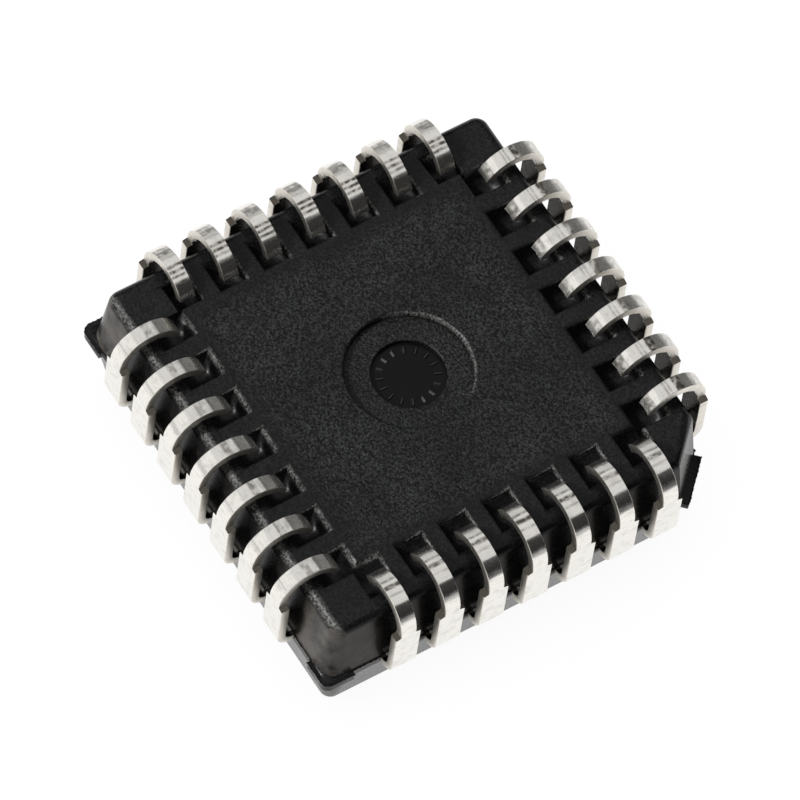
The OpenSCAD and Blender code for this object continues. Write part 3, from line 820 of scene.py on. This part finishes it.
def tick_tree(look):
    """Sets low ridges round a circle, each pointing to the middle."""
    tree, add, given = new_tree("mark_ticks", Ticks=look.count, Ring=look.ring, Run=look.run,
                                Width=look.width, Rise=look.rise)
    outline = add("GeometryNodeCurvePrimitiveQuadrilateral",
                  {"Width": given["Run"], "Height": given["Width"]}, mode="RECTANGLE")
    corner = add("ShaderNodeMath", {0: given["Width"], 1: TICK_CORNER}, operation="MULTIPLY")
    rounded = add("GeometryNodeFilletCurve", {"Curve": outline, "Radius": corner, "Count": 2}, mode="POLY")
    flat = add("GeometryNodeFillCurve", {"Curve": rounded}, mode="NGONS")
    bar = add("GeometryNodeExtrudeMesh", {"Mesh": flat, "Offset Scale": given["Rise"]})
    ridge = add("GeometryNodeScaleElements",
                {"Geometry": bar, "Selection": bar.outputs["Top"], "Scale": TICK_TOP,
                 "Axis": (0.0, 1.0, 0.0)}, scale_mode="SINGLE_AXIS")
    ring = add("GeometryNodeMeshCircle", {"Vertices": given["Ticks"], "Radius": given["Ring"]})
    place = add("GeometryNodeInputIndex")
    share = add("ShaderNodeMath", {0: place, 1: given["Ticks"]}, operation="DIVIDE")
    turn = add("ShaderNodeMath", {0: share, 1: 2 * math.pi}, operation="MULTIPLY")
    spin = add("ShaderNodeCombineXYZ", {"Z": turn})
    facing = add("FunctionNodeEulerToRotation", {0: spin})
    ticks = add("GeometryNodeInstanceOnPoints", {"Points": ring, "Instance": ridge, "Rotation": facing})
    both = add("GeometryNodeJoinGeometry", {0: given["Geometry"]})
    feed(both, {0: ticks})
    end_tree(add, both, given["Material"])
    return tree


class CHIP_OT_raise_ticks(Operator):
    """Raises a plain ring of ticks on the polished disc of the ejector mark"""
    bl_idname = "chip.raise_ticks"
    bl_label = "Raise Ticks"

    def execute(self, context):
        body = context.scene.chip_body
        # Raised edges that handling wore shiny, so they glint on the black disc
        skin = polished_compound(body, "epoxy_mould_compound_worn_shiny", 0.6)
        base = bpy.data.meshes.new("no_base")
        piece = grow("mark_ticks", base, tick_tree(context.scene.chip_ticks), skin)
        piece.data.transform(Matrix.Translation((0, 0, body_high.z - body.disc_depth)))
        clean_skin(piece.data)
        settle(piece, "mould_compound")
        return {"FINISHED"}


class CHIP_OT_finish_inside(Operator):
    """Finishes the pieces inside the moulding: pad, adhesive, die and bond wires"""
    bl_idname = "chip.finish_inside"
    bl_label = "Finish Inside"

    def execute(self, context):
        look = context.scene.chip_inside
        # Each finish with its name, colour, roughness and grain size
        finishes = {
            # Rolled copper alloy: warm, with soft cloudy tarnish
            "die_pad": plain_metal("rolled_copper_alloy", look.copper, 0.35, 0.4 * MM),
            # Silver flakes in cured epoxy: a dull sparkling grey
            "die_attach": plain_metal("silver_filled_epoxy", look.adhesive, 0.6, 0.03 * MM),
            # Polished silicon: dark and mirror-like
            "die": plain_metal("polished_silicon", look.silicon, 0.12, 0.3 * MM),
            # Drawn gold wire: bright and yellow
            "bond_wires": plain_metal("drawn_gold_wire", look.gold, 0.2, 0.05 * MM),
        }
        for node, finish in finishes.items():
            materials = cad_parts[node].data.materials
            materials.clear()
            materials.append(finish)
        return {"FINISHED"}


def add_softbox(name, level, size, place, aim, lit):
    """A rectangular lamp of a given brightness that faces a point, kept to the named pieces, if any."""
    lamp = bpy.data.lights.new(name, "AREA")
    lamp.shape = "RECTANGLE"
    lamp.size, lamp.size_y = size
    lamp.energy = level * math.pi * size[0] * size[1]
    box = add_object(name, lamp)
    box.location = place
    box.rotation_euler = (Vector(aim) - Vector(place)).to_track_quat("-Z", "Y").to_euler()
    if lit:
        receivers = bpy.data.collections.new(f"lit_by_{name}")
        for piece in lit:
            receivers.objects.link(bpy.data.objects[piece])
        box.light_linking.receiver_collection = receivers


def paper_floor(look):
    """White seamless paper: matte, and white for the camera and for reflections, with a faint shadow."""
    material, add, shader = new_material("white_seamless_paper")
    place = add("ShaderNodeTexCoord").outputs["Object"]
    fibres = add("ShaderNodeTexNoise", {"Vector": place, "Scale": 1 / look.fibre, "Detail": 4.0})
    paper = add("ShaderNodeMix",
                {"Factor": fibres, "A": look.floor, "B": darkened(look.floor, 0.98)}, data_type="RGBA")
    path = add("ShaderNodeLightPath").outputs
    seen = add("ShaderNodeMath", {0: path["Is Camera Ray"], 1: path["Is Glossy Ray"]}, operation="MAXIMUM")
    shown = add("ShaderNodeMath", {0: seen, 1: path["Is Transmission Ray"]}, operation="MAXIMUM")
    skin = add("ShaderNodeMix",
               {"Factor": shown, "A": paper, "B": darkened(look.floor, look.floor_share)}, data_type="RGBA")
    lift = add("ShaderNodeMath", {0: shown, 1: look.floor_lift}, operation="MULTIPLY")
    feed(shader, {"Base Color": skin, "Emission Strength": lift, "Emission Color": (1.0, 1.0, 1.0, 1.0),
                  "Roughness": 0.9, "Specular IOR Level": 0.1})
    return material


def room(look):
    """A plain dim room round the softboxes."""
    world = bpy.data.worlds.new("plain_room")
    world.use_nodes = True
    world.node_tree.nodes.clear()
    add = partial(add_node, world.node_tree)
    sky = add("ShaderNodeBackground", {"Strength": look.room_level})
    add("ShaderNodeOutputWorld", {"Surface": sky})
    bpy.context.scene.world = world


def add_camera():
    """The camera at the photograph's place: a long lens from the near corner, turned a little on its axis."""
    azimuth, elevation, roll = (math.radians(v) for v in CAMERA_TURN)
    back = Vector((math.sin(azimuth) * math.cos(elevation), -math.cos(azimuth) * math.cos(elevation),
                   math.sin(elevation)))
    level = Vector((math.cos(azimuth), math.sin(azimuth), 0))
    upright = back.cross(level)
    right = level * math.cos(roll) + upright * math.sin(roll)
    up = upright * math.cos(roll) - level * math.sin(roll)
    target = Vector((0, 0, AIM_HEIGHT * MM)) + right * AIM_RIGHT * MM + up * AIM_UP * MM
    data = bpy.data.cameras.new("camera")
    data.sensor_width = 36.0
    data.lens = CAMERA_LENS
    data.clip_start, data.clip_end = 0.01, 10.0
    camera = add_object("camera", data)
    camera.matrix_world = Matrix((right, up, back)).transposed().to_4x4()
    camera.location = target + back * CAMERA_DISTANCE * MM
    bpy.context.scene.camera = camera


class CHIP_OT_set_studio(Operator):
    """Sets the studio: white paper, a key lamp, softboxes left, right, behind and overhead, room, camera"""
    bl_idname = "chip.set_studio"
    bl_label = "Set Studio"

    def execute(self, context):
        look = context.scene.chip_studio
        mesh = bpy.data.meshes.new("paper")
        corners = [(x * PAPER_HALF, y * PAPER_HALF, 0) for x, y in ((-1, -1), (1, -1), (1, 1), (-1, 1))]
        mesh.from_pydata(corners, [], [(0, 1, 2, 3)])
        mesh.materials.append(paper_floor(look))
        floor = add_object("paper", mesh)
        for name, level, *rest in LAMPS:
            add_softbox(name, getattr(look, level), *rest)
        room(look)
        add_camera()
        context.scene.view_settings.view_transform = "Standard"
        return {"FINISHED"}


class CHIP_PT_dresser(Panel):
    """Lists the chip carrier's pieces, with the values that a user would change."""
    bl_idname = "CHIP_PT_dresser"
    bl_label = "Chip Carrier"
    bl_space_type = "VIEW_3D"
    bl_region_type = "UI"
    bl_category = "Chip Carrier"

    def draw(self, context):
        scene = context.scene
        for operator, look in STEPS:
            box = self.layout.box()
            box.operator(operator.bl_idname)
            values = getattr(scene, look)
            for key in values.__annotations__:
                box.prop(values, key)


LOOKS = {
    "chip_body": BodyLook,
    "chip_leads": LeadLook,
    "chip_flash": FlashLook,
    "chip_ticks": TickLook,
    "chip_inside": InsideLook,
    "chip_studio": StudioLook,
}
STEPS = (
    (CHIP_OT_mould_body, "chip_body"),
    (CHIP_OT_form_leads, "chip_leads"),
    (CHIP_OT_tear_flash, "chip_flash"),
    (CHIP_OT_raise_ticks, "chip_ticks"),
    (CHIP_OT_finish_inside, "chip_inside"),
    (CHIP_OT_set_studio, "chip_studio"),
)
CLASSES = [*LOOKS.values(), *(operator for operator, _ in STEPS), CHIP_PT_dresser]


def register():
    for cls in CLASSES:
        bpy.utils.register_class(cls)
    for name, look in LOOKS.items():
        setattr(bpy.types.Scene, name, PointerProperty(type=look))


def unregister():
    for name in LOOKS:
        delattr(bpy.types.Scene, name)
    for cls in reversed(CLASSES):
        bpy.utils.unregister_class(cls)


def main():
    register()
    bpy.ops.chip.mould_body()
    bpy.ops.chip.form_leads()
    bpy.ops.chip.tear_flash()
    bpy.ops.chip.raise_ticks()
    bpy.ops.chip.finish_inside()
    bpy.ops.chip.set_studio()


if __name__ == "__main__":
    main()
